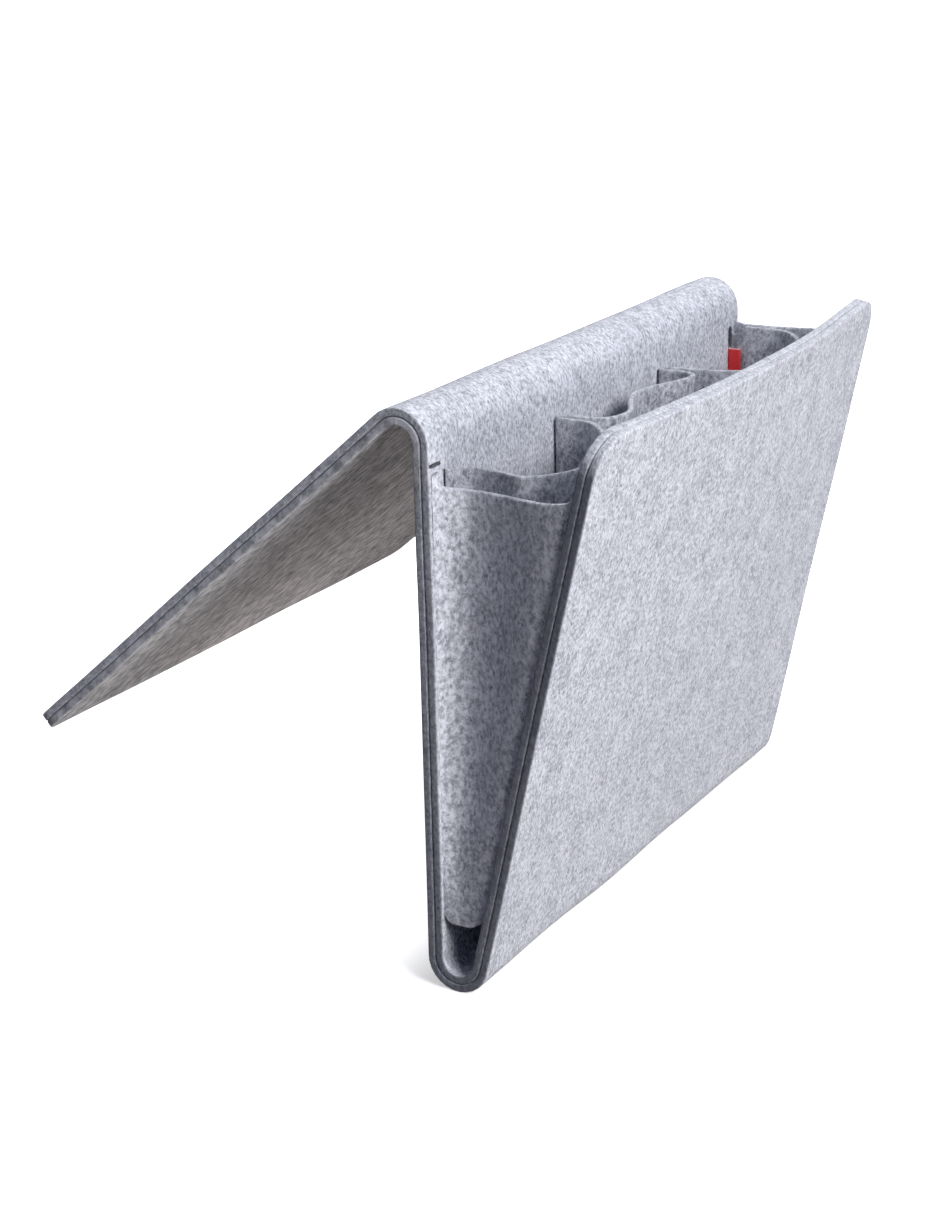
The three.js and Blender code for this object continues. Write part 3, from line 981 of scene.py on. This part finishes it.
@dataclass
class Gussets:
    """The thin felt sheets that close the pocket's two ends and fold inwards."""

    body: FeltBody
    left: GussetEnd = GussetEnd(Side.LEFT, 27.0, 8.8, 13.0)
    right: GussetEnd = GussetEnd(Side.RIGHT, 21.0, 1.0, 3.0)
    lining: float = 2.5
    seam_gap: float = 0.3
    inset: float = 2.0
    valley: float = 10.5
    taper: float = 0.65
    low_fold: float = 0.06
    fold_fade: float = 0.62
    clear: float = 30.0
    round_rise: float = 4.0
    round_rate: float = 3.0
    sag_power: float = 0.2
    wall_linings: float = 1.5
    swell: float = 0.35
    swell_width: float = 40.0
    swell_length: float = 55.0
    swell_seed: int = 11
    blend_reach: float = 23.0
    flat_metres: Range = (0.068, 0.206)
    area_square_metres: float = 0.0094
    edge: CutEdge = CutEdge(0.8)
    columns: int = 81
    row_step: float = 2.6

    def plan(self, share: Array, fold: Array, valley: Array, depth: Array) -> tuple[Array, Array, Array]:
        """A gusset in plan: a quarter sine in to the valley, half-way along, then half a cosine out again.

        Args:
            share: share of the way along the felt.
            fold: how far in it folds.
            valley: distance off the back where it folds in furthest.
            depth: the pocket's depth.

        Returns:
            Its distance off the back, how far in from the cut edge its outer face is, and how much the slant
            of the felt draws its thickness out along X.
        """
        past = 2.0 * share - 1.0
        before = past < 0.0
        run = np.where(before, valley, depth - valley)
        angle = np.pi * np.where(before, share, past)
        off = np.where(before, 2.0 * share * run, valley + past * run)
        folded = np.where(before, np.sin(angle), (1.0 + np.cos(angle)) / 2)
        slope = np.pi / 2 * fold * np.where(before, np.cos(angle), -np.sin(angle)) / run
        return off, self.inset + fold * folded, np.hypot(1.0, slope)

    def wall_inset(self, off: Array, fold: float, depth: float, gap: float) -> Array:
        """How far in from the cut edge the middle of a loop's end wall stays.

        The gusset's own thickness and half of the wall's, drawn out by the slant, and a gap lie between it
        and the gusset's outer face.

        Args:
            off: distances off the back.
            fold: how far in the gusset folds.
            depth: the pocket's depth.
            gap: the gap between the gusset and the wall.

        Returns:
            The inset at each distance.
        """
        far = 0.5 + (off - self.valley) / (2.0 * (depth - self.valley))
        share = np.clip(np.where(off < self.valley, off / (2.0 * self.valley), far), 0.0, 1.0)
        _, inset, slant = self.plan(share, np.array(fold), np.array(self.valley), np.array(depth))
        return inset + self.wall_linings * self.lining * slant + gap

    def ends(self, end: GussetEnd, share: Array) -> tuple[Array, Array]:
        """A gusset's edges: the lower is rounded up at its sides, the upper sags by a flattened sine.

        Args:
            end: how the gusset hangs.
            share: shares of the way along the felt.

        Returns:
            Heights of the lower and of the upper edge, in the back's frame.
        """
        from_side = np.minimum(share, 1.0 - share)
        rounding = self.round_rise * (1.0 - np.minimum(1.0, self.round_rate * from_side)) ** 2
        sag = end.dip * np.sin(np.pi * from_side) ** self.sag_power
        body = self.body
        return body.ridge_top - body.height + self.clear + rounding, body.ridge_top - end.drop - sag

    def sheet(self, name: str, end: GussetEnd) -> bpy.types.Object:
        """One gusset: from the back to the front at each height, its fold fading out towards its lower edge.

        Args:
            name: the piece's name.
            end: how it hangs.

        Returns:
            The gusset.
        """
        body, side = self.body, end.side.value
        shares = (1.0 - np.cos(np.pi * np.linspace(0.0, 1.0, self.columns))) / 2
        low, high = self.ends(end, shares)
        tall = float(np.max(high - low))
        heights = edge_rows(self.edge.stations() / tall, 1.0, self.row_step / tall, SHARE_DIGITS)
        share = np.repeat(shares[None, :], len(heights), axis=0)
        z = low + (high - low) * heights[:, None]
        depth = np.minimum(heights, 1.0 - heights)[:, None] * (high - low)
        thick = self.edge.half_thickness(depth, self.lining / 2)
        taper = self.taper + (1.0 - self.taper) * heights[:, None]
        straight = body.pocket_depth(z, np.array(0.0))
        folding = self.low_fold + (1.0 - self.low_fold) * smooth_step(0.0, self.fold_fade, heights[:, None])
        off_back, inset, slant = self.plan(share, end.fold * folding, self.valley * taper, straight)
        swell = self.swell * waviness(share * self.swell_width, z, self.swell_length, self.swell_seed + side)
        inset = inset + swell * np.sin(np.pi * share)

        def face(off: Array) -> Array:
            """One face of the gusset, at a distance off its middle, stretched to where the front stands."""
            x = side * (body.half_length - inset - (self.lining / 2 - off) * slant)
            stretch = (body.pocket_depth(z, body.front_out(x)) - 2.0 * self.seam_gap) / straight
            return body.from_back(x, body.pocket_face - self.seam_gap - off_back * stretch, z)

        return thick_sheet(name, face, thick, {"rim": depth})

    def build(self, felt: bpy.types.Material) -> list[bpy.types.Object]:
        """Makes both gussets.

        Args:
            felt: the lining's felt.

        Returns:
            The gussets.
        """
        body = self.body
        half_mouth = math.radians(body.mouth_angle / 2)
        step = (self.blend_reach * math.cos(half_mouth), self.blend_reach * math.sin(half_mouth))
        centre_y, centre_z = body.bend_centre
        start = body.world_point(centre_y + step[0], centre_z + step[1])
        end = body.world_point(centre_y - step[0], centre_z - step[1])
        made = []
        for gusset in (self.left, self.right):
            side = gusset.side.name.lower()
            piece = self.sheet(f"{side}_end_gusset", gusset)
            piece.data.materials.append(felt)
            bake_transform(piece)
            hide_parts(f"{side}_gusset")
            made.append(piece)
        return made


def through_points(points: Array, steps: int) -> Array:
    """A smooth line through points: each stretch is a cubic whose pace is the square root of its chord.

    Args:
        points: the points, one row each.
        steps: points on each stretch.

    Returns:
        The line's points.
    """
    ends = np.concatenate([[2 * points[0] - points[1]], points, [2 * points[-1] - points[-2]]])
    p0, p1, p2, p3 = ends[:-3], ends[1:-2], ends[2:-1], ends[3:]

    def pace(first: Array, second: Array) -> Array:
        """Square root of the chord between each two points, never nothing."""
        return np.maximum(np.sqrt(np.linalg.norm(second - first, axis=1)), LEAST_PACE)[:, None]

    d0, d1, d2 = pace(p0, p1), pace(p1, p2), pace(p2, p3)
    leave = ((p1 - p0) / d0 - (p2 - p0) / (d0 + d1) + (p2 - p1) / d1) * d1
    reach = ((p2 - p1) / d1 - (p3 - p1) / (d1 + d2) + (p3 - p2) / d2) * d1
    t = np.linspace(0.0, 1.0, steps, endpoint=False)[None, :, None]
    start, end = p1[:, None], p2[:, None]
    line = ((2 * t**3 - 3 * t**2 + 1) * start + (t**3 - 2 * t**2 + t) * leave[:, None]
            + (3 * t**2 - 2 * t**3) * end + (t**3 - t**2) * reach[:, None])
    return np.concatenate([line.reshape(-1, points.shape[1]), points[-1:]])


@dataclass
class PocketStrip:
    """The thin felt strip that is sewn to the back and stands off it in three loops."""

    body: FeltBody
    gussets: Gussets
    drop: float = 27.0
    tall: float = 175.0
    end_gap: float = 1.5
    widths: tuple[float, float] = (104.0, 103.0)
    seam: float = 6.0
    clearance: float = 13.0
    turn: float = 2.6
    turn_steps: int = 3
    line_steps: int = 8
    row_step: float = 3.0
    edge: CutEdge = CutEdge(0.8)
    wavy_part: Range = (0.6, 1.0)
    dip: float = 0.7
    dip_length: float = 70.0
    dip_seed: int = 23
    end_rise: float = 4.5
    end_part: Range = (0.8, 0.94)
    end_off: Range = (3.0, 9.0)
    blend_reach: float = 56.0
    outlines: tuple[tuple[tuple[float, float], ...], ...] = (
        ((0, 0.04), (0, 0.2), (0, 0.42), (0.02, 0.52), (0.08, 0.7), (0.21, 0.91), (0.38, 1), (0.58, 0.93),
         (0.77, 0.74), (0.91, 0.54), (0.98, 0.4), (1, 0.26)),
        ((0, 0.2), (0.01, 0.36), (0.05, 0.46), (0.13, 0.5), (0.23, 0.47), (0.4, 0.31), (0.54, 0.22),
         (0.66, 0.25), (0.78, 0.36), (0.89, 0.43), (0.97, 0.4), (1, 0.28)),
        ((0, 0.26), (0.01, 0.48), (0.04, 0.66), (0.13, 0.87), (0.32, 1), (0.58, 1), (0.8, 0.87),
         (0.94, 0.64), (0.99, 0.48), (1, 0.36), (1, 0.2), (1, 0.04)),
    )

    @property
    def top(self) -> float:
        """Height of the strip's upper edge in the back's frame."""
        return self.body.ridge_top - self.drop

    @property
    def flat(self) -> float:
        """Distance of the felt's middle from the back where it lies on it."""
        return self.gussets.seam_gap + self.gussets.lining / 2

    def line(self) -> Array:
        """The strip's middle line in plan: three loops, with quarter-circle turns into the seams between.

        Returns:
            X and the distance off the back, one row for each point.
        """
        body, gussets = self.body, self.gussets
        depth = float(body.pocket_depth(np.array(self.top), np.array(0.0)))
        fullest = depth - self.clearance
        start = gussets.inset + gussets.lining * gussets.wall_linings + self.end_gap - body.half_length
        angles = np.linspace(0.0, np.pi / 2, self.turn_steps + 1)
        turn_x = self.turn * (1.0 - np.cos(angles))
        turn_off = self.flat + self.turn * (1.0 - np.sin(angles))
        widths = [*self.widths, -2 * start - sum(self.widths) - 2 * self.seam]
        points = [np.array([[start, gussets.seam_gap]])]
        left = start
        for number, (outline, width) in enumerate(zip(self.outlines, widths)):
            shares = np.array(outline, dtype=float)
            points.append(np.stack([left + shares[:, 0] * width, shares[:, 1] * fullest], axis=1))
            right = left + width
            if number < len(widths) - 1:
                points.append(np.stack([right + turn_x, turn_off], axis=1))
                points.append(np.stack([right + self.seam - turn_x[::-1], turn_off[::-1]], axis=1))
            left = right + self.seam
        points.append(np.array([[-start, gussets.seam_gap]]))
        rough = np.concatenate(points)
        left_wall, right_wall = (gussets.wall_inset(rough[:, 1], end.fold, depth, self.end_gap)
                                 for end in (gussets.left, gussets.right))
        rough[:, 0] = np.clip(rough[:, 0], left_wall - body.half_length, body.half_length - right_wall)
        return through_points(rough, self.line_steps)

    def build(self, felt: bpy.types.Material) -> list[bpy.types.Object]:
        """Makes the strip: the line given a thickness, drawn in towards the back with the pocket's depth.

        Its upper edge dips a little here and there, and rises at the right end.

        Args:
            felt: the strip's felt, a darker copy of the lining's that paints the shade inside the pocket.

        Returns:
            The strip.
        """
        body, gussets = self.body, self.gussets
        line = self.line()
        along = np.gradient(line, axis=0)
        along /= np.linalg.norm(along, axis=1)[:, None]
        heights = edge_rows(self.edge.stations(), self.tall, self.row_step)
        depth = np.minimum(heights, self.tall - heights)[:, None]
        thick = self.edge.half_thickness(depth, gussets.lining / 2)
        z = np.repeat((self.top - self.tall + heights)[:, None], len(line), axis=1)
        share = body.pocket_depth(z, np.array(0.0)) / body.pocket_depth(np.array(self.top), np.array(0.0))
        upper = smooth_step(*self.wavy_part, heights / self.tall)[:, None]
        dips = waviness(line[:, 0], line[:, 1], self.dip_length, self.dip_seed)
        rise = np.minimum(self.dip * dips, 0.0) * upper
        right_end = smooth_step(*self.end_part, line[:, 0] / body.half_length)
        off_back = smooth_step(*self.end_off, line[:, 1])
        rise = rise + self.end_rise * (right_end * off_back) * upper

        def face(off: Array) -> Array:
            """One face of the strip, at a distance off its middle, no nearer the back than the seam."""
            x = line[:, 0] - off * along[:, 1]
            out = np.maximum(line[:, 1] + off * along[:, 0], gussets.seam_gap)
            drawn = np.where(out > self.flat, self.flat + (out - self.flat) * share, out)
            return body.from_back(x, body.pocket_face - drawn, z + rise)

        piece = thick_sheet("pocket_loops", face, thick, {"rim": depth})
        piece.data.materials.append(felt)
        start = body.world_point(body.pocket_face, self.top)
        end = body.world_point(body.pocket_face - self.blend_reach, self.top)
        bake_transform(piece)
        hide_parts("pocket_strip")
        return [piece]


@dataclass
class SideTab:
    """The bare red ribbon, folded double, in the seam at the right end."""

    body: FeltBody
    gussets: Gussets
    strip: PocketStrip
    reach: float = 6.5
    tall: float = 20.0
    drop: float = 34.0
    ribbon: float = 0.6
    fold_gap: float = 0.4
    layer_points: int = 12
    fold_points: int = 14
    row_step: float = 1.0
    edge: CutEdge = CutEdge(0.25)

    @property
    def bottom(self) -> float:
        """Height of the tab's lower edge, in the back's frame."""
        return self.body.ridge_top - self.drop - self.tall

    @property
    def middle_x(self) -> float:
        """X of the tab's fold: beside the end wall of the right loop, where that leans in furthest."""
        gussets = self.gussets
        wall = gussets.inset + gussets.right.fold + 2.0 * gussets.lining + self.strip.end_gap
        half = self.ribbon + self.fold_gap / 2
        return self.body.half_length - wall - gussets.seam_gap - half

    def build(self, ribbon: bpy.types.Material) -> list[bpy.types.Object]:
        """Makes the tab: a hairpin in plan, out along one layer, round its fold and back, carried upwards.

        Args:
            ribbon: the ribbon's finish.

        Returns:
            The tab.
        """
        body, gussets = self.body, self.gussets
        radius = (self.ribbon + self.fold_gap) / 2
        straight = self.reach - radius - self.ribbon / 2
        out = np.linspace(0.0, straight, self.layer_points)
        round_fold = np.linspace(-np.pi / 2, np.pi / 2, self.fold_points)[1:-1]
        layer = np.full_like(out, radius)
        x = np.concatenate([-layer, radius * np.sin(round_fold), layer])
        y = np.concatenate([out, straight + radius * np.cos(round_fold), out[::-1]])
        direction = np.gradient(np.stack([x, y], axis=1), axis=0)
        direction /= np.linalg.norm(direction, axis=1)[:, None]
        heights = edge_rows(self.edge.stations(), self.tall, self.row_step)
        depth = np.minimum(heights, self.tall - heights)[:, None]
        thick = self.edge.half_thickness(depth, self.ribbon / 2)
        z = np.repeat(heights[:, None], len(x), axis=1)

        def face(off: Array) -> Array:
            """One face of the ribbon, at a distance off its middle."""
            across = self.middle_x + x - off * direction[:, 1]
            outward = body.pocket_face - gussets.seam_gap - y - off * direction[:, 0]
            return body.from_back(across, outward, self.bottom + z)

        piece = thick_sheet("folded_side_tab", face, thick, {"rim": depth})
        piece.data.materials.append(ribbon)
        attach(piece, Body.BACK.value)
        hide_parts("side_tab")
        return [piece]


@dataclass
class BarTacks:
    """Bars of close stitches: a level one above the left gusset, an upright one above the tab."""

    body: FeltBody
    gussets: Gussets
    tab: SideTab
    left_long: float = 8.0
    left_rise: float = 3.0
    right_long: float = 11.0
    right_gap: float = 0.5
    thick: float = 1.6
    stitches: int = 11
    stitch_points: float = 11.5
    ring_points: int = 24
    cap_power: int = 6
    cap_least: float = 1e-4
    hollow: float = 0.78
    crest: float = 0.22

    def bar(self, name: str, long: float, place: tuple[float, float], upright: bool) -> bpy.types.Object:
        """One bar: a capsule whose radius rises and falls with each stitch, with a flat cap at each end.

        Args:
            name: the piece's name.
            long: the bar's length.
            place: X and Z of its middle, in the back's frame.
            upright: whether it runs along Z and not along X.

        Returns:
            The bar.
        """
        radius = self.thick / 2
        share = np.linspace(-1.0, 1.0, int(self.stitch_points * self.stitches))
        cap = np.sqrt(np.maximum(1.0 - np.abs(share) ** self.cap_power, self.cap_least))
        ridge = self.hollow + self.crest * np.abs(np.cos(np.pi * self.stitches * (share + 1.0) / 2))
        angles = np.linspace(0.0, 2.0 * np.pi, self.ring_points, endpoint=False)
        ring = radius * (cap * ridge)[:, None]
        along = np.repeat((share * long / 2)[:, None], len(angles), axis=1)
        sideways = ring * np.sin(angles)
        x = place[0] + (sideways if upright else along)
        z = place[1] + (along if upright else sideways)
        y = self.body.pocket_face - self.gussets.seam_gap - radius + ring * np.cos(angles)
        rows, columns = x.shape
        number = np.arange(rows * columns).reshape(rows, columns)
        wrapped = np.concatenate([number, number[:, :1]], axis=1)
        steps = np.arange(1, columns // 2 - 1)
        opposite = columns - steps
        caps = [np.stack([end[steps], end[steps + 1], end[opposite - 1], end[opposite]], axis=-1)
                for end in (number[0], number[-1][::-1])]
        faces = np.concatenate([grid_faces(wrapped), *caps])
        return make_object(name, self.body.from_back(x, y, z).reshape(-1, 3), faces, {})

    def build(self, thread: bpy.types.Material) -> list[bpy.types.Object]:
        """Makes both bars.

        Args:
            thread: the thread's finish.

        Returns:
            The bars.
        """
        body, tab = self.body, self.tab
        left_x = self.left_long / 2 - body.half_length
        left_z = body.ridge_top - self.gussets.left.drop + self.left_rise + self.thick / 2
        right_z = tab.bottom + tab.tall + self.right_gap + self.right_long / 2
        made = [
            self.bar("left_stitched_bar", self.left_long, (left_x, left_z), False),
            self.bar("right_stitched_bar", self.right_long, (tab.middle_x, right_z), True),
        ]
        for side, piece in zip(Side, made):
            piece.data.materials.append(thread)
            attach(piece, Body.BACK.value)
            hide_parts(f"{side.name.lower()}_bar_tack")
        return made


@dataclass(frozen=True)
class SoftLight:
    """A square soft light, aimed at the caddy."""

    name: str
    place: Point
    size: float
    power: float
    aim: Point = (0.0, -0.03, -0.1)
    colour: Colour = WHITE

    def build(self) -> None:
        """Adds the light, which the camera doesn't see."""
        lamp = bpy.data.lights.new(self.name, "AREA")
        lamp.size = self.size
        lamp.energy = self.power
        lamp.color = self.colour
        made = bpy.data.objects.new(self.name, lamp)
        made.location = self.place
        toward = Vector(self.aim) - Vector(self.place)
        made.rotation_euler = toward.to_track_quat("-Z", "Y").to_euler()
        made.visible_camera = False
        bpy.context.scene.collection.objects.link(made)


@dataclass
class Studio:
    """A plain pale floor and wall, soft light and the camera."""

    floor_height: float
    floor_reach: float = 16.0
    floor_points: int = 9
    wall_radius: float = 14.0
    wall_height: float = 14.0
    wall_points: int = 97
    wall_rows: int = 3
    daylight: Stops = (
        (0.12, (0.24, 0.195, 0.15)),
        (0.4, (0.08, 0.09, 0.13)),
        (0.62, (0.06, 0.075, 0.12)),
    )
    lens: float = 72.05
    sensor: float = 36.0
    camera_place: Point = (-0.9915, -0.5018, 0.2569)
    camera_right: Point = (0.48855, -0.87253, -0.00364)
    camera_down: Point = (-0.28110, -0.15344, -0.94733)
    lights: tuple[SoftLight, ...] = (
        SoftLight("side_softbox", (-0.74, -1.82, 1.3), 1.0, 48.0),
        SoftLight("front_softbox", (-0.34, -2.29, 0.22), 0.8, 22.5),
        SoftLight("back_softbox", (0.86, 0.54, 1.08), 1.0, 16.5),
        SoftLight("floor_bounce", (0.0, 0.16, -0.238), 0.16, 0.052, (0.0, 0.17, -0.12), (1.0, 0.93, 0.86)),
    )

    def stage_sheet(self, name: str, x: Array, y: Array, up: Array,
                    pale: bpy.types.Material) -> bpy.types.Object:
        """Adds one sheet of the studio, whose glow throws no diffuse light on the caddy.

        Args:
            name: the sheet's name.
            x: X of its grid of points.
            y: Y of its grid of points.
            up: height of its grid of points above the floor.
            pale: its finish.

        Returns:
            The sheet.
        """
        points = np.stack([x, y, self.floor_height + up], axis=-1).reshape(-1, 3)
        number = np.arange(points.shape[0]).reshape(x.shape)
        mesh = bpy.data.meshes.new(name)
        mesh.from_pydata(points.tolist(), [], grid_faces(number).tolist())
        mesh.materials.append(pale)
        made = bpy.data.objects.new(name, mesh)
        bpy.context.scene.collection.objects.link(made)
        made.visible_diffuse = False
        made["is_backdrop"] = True
        return made

    def room(self) -> None:
        """Adds the floor, a square under the caddy, and a round wall far off that only the camera sees."""
        pale = FloorFinish("pale_floor").material()
        across = np.linspace(-self.floor_reach, self.floor_reach, self.floor_points)
        x, y = np.meshgrid(across, across)
        self.stage_sheet("studio_floor", x, y, np.zeros_like(x), pale)
        around = np.linspace(0.0, 2.0 * np.pi, self.wall_points)
        turn, up = np.meshgrid(around, np.linspace(0.0, self.wall_height, self.wall_rows))
        x, y = self.wall_radius * np.cos(turn), self.wall_radius * np.sin(turn)
        wall = self.stage_sheet("studio_wall", x, y, up, pale)
        wall.visible_glossy = False
        wall.visible_shadow = False

    def camera(self) -> None:
        """Adds the camera, turned by its right and down directions."""
        data = bpy.data.cameras.new("camera")
        data.lens = self.lens
        data.sensor_width = self.sensor
        made = bpy.data.objects.new("camera", data)
        right = Vector(self.camera_right).normalized()
        up = -Vector(self.camera_down)
        back = right.cross(up).normalized()
        up = back.cross(right)
        turn = Matrix((right, up, back)).transposed()
        made.matrix_world = Matrix.Translation(self.camera_place) @ turn.to_4x4()
        bpy.context.scene.collection.objects.link(made)
        bpy.context.scene.camera = made

    def sky(self) -> None:
        """Adds the daylight: its colour changes with the height that it comes from."""
        world = bpy.data.worlds.new("daylight")
        world.use_nodes = True
        nodes = Nodes(world.node_tree)
        place = nodes.node("ShaderNodeTexCoord", {}, {}, "Generated")
        share = nodes.math("MULTIPLY_ADD", nodes.axis(place, "Z"), 0.5, 0.5)
        ramp = nodes.node("ShaderNodeValToRGB", {"stops": self.daylight}, {"Fac": share}, "Color")
        nodes.tree.links.new(ramp.socket, nodes.tree.nodes["Background"].inputs["Color"])
        bpy.context.scene.world = world

    def build(self) -> None:
        """Adds the floor and wall, the lights, the daylight and the camera."""
        self.room()
        for light in self.lights:
            light.build()
        self.sky()
        bpy.context.scene.view_settings.view_transform = "Standard"
        self.camera()


def main() -> None:
    """Builds the caddy's sub-assemblies in order, dresses them and sets the studio round them."""
    logging.basicConfig(level=logging.INFO, format="%(name)s: %(message)s")
    solid_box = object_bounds()
    body_felt = BODY_FELT.material()
    lining_felt = LINING_FELT.material()
    shaded_strip_felt = SHADED_STRIP_FELT.material()
    under_felt = UNDER_FELT.material()
    red_ribbon = RibbonFinish("red_ribbon").material()
    dark_thread = ThreadFinish("dark_thread").material()
    body = FeltBody()
    gussets = Gussets(body)
    strip = PocketStrip(body, gussets)
    made = body.build(body_felt, under_felt)
    made += gussets.build(lining_felt)
    made += strip.build(shaded_strip_felt)
    tab = SideTab(body, gussets, strip)
    made += tab.build(red_ribbon)
    made += BarTacks(body, gussets, tab).build(dark_thread)
    for piece in made:
        LOG.info("%s: %d faces", piece.name, len(piece.data.polygons))
    Studio(floor_height=float(solid_box[0][2])).build()


if __name__ == "__main__":
    main()
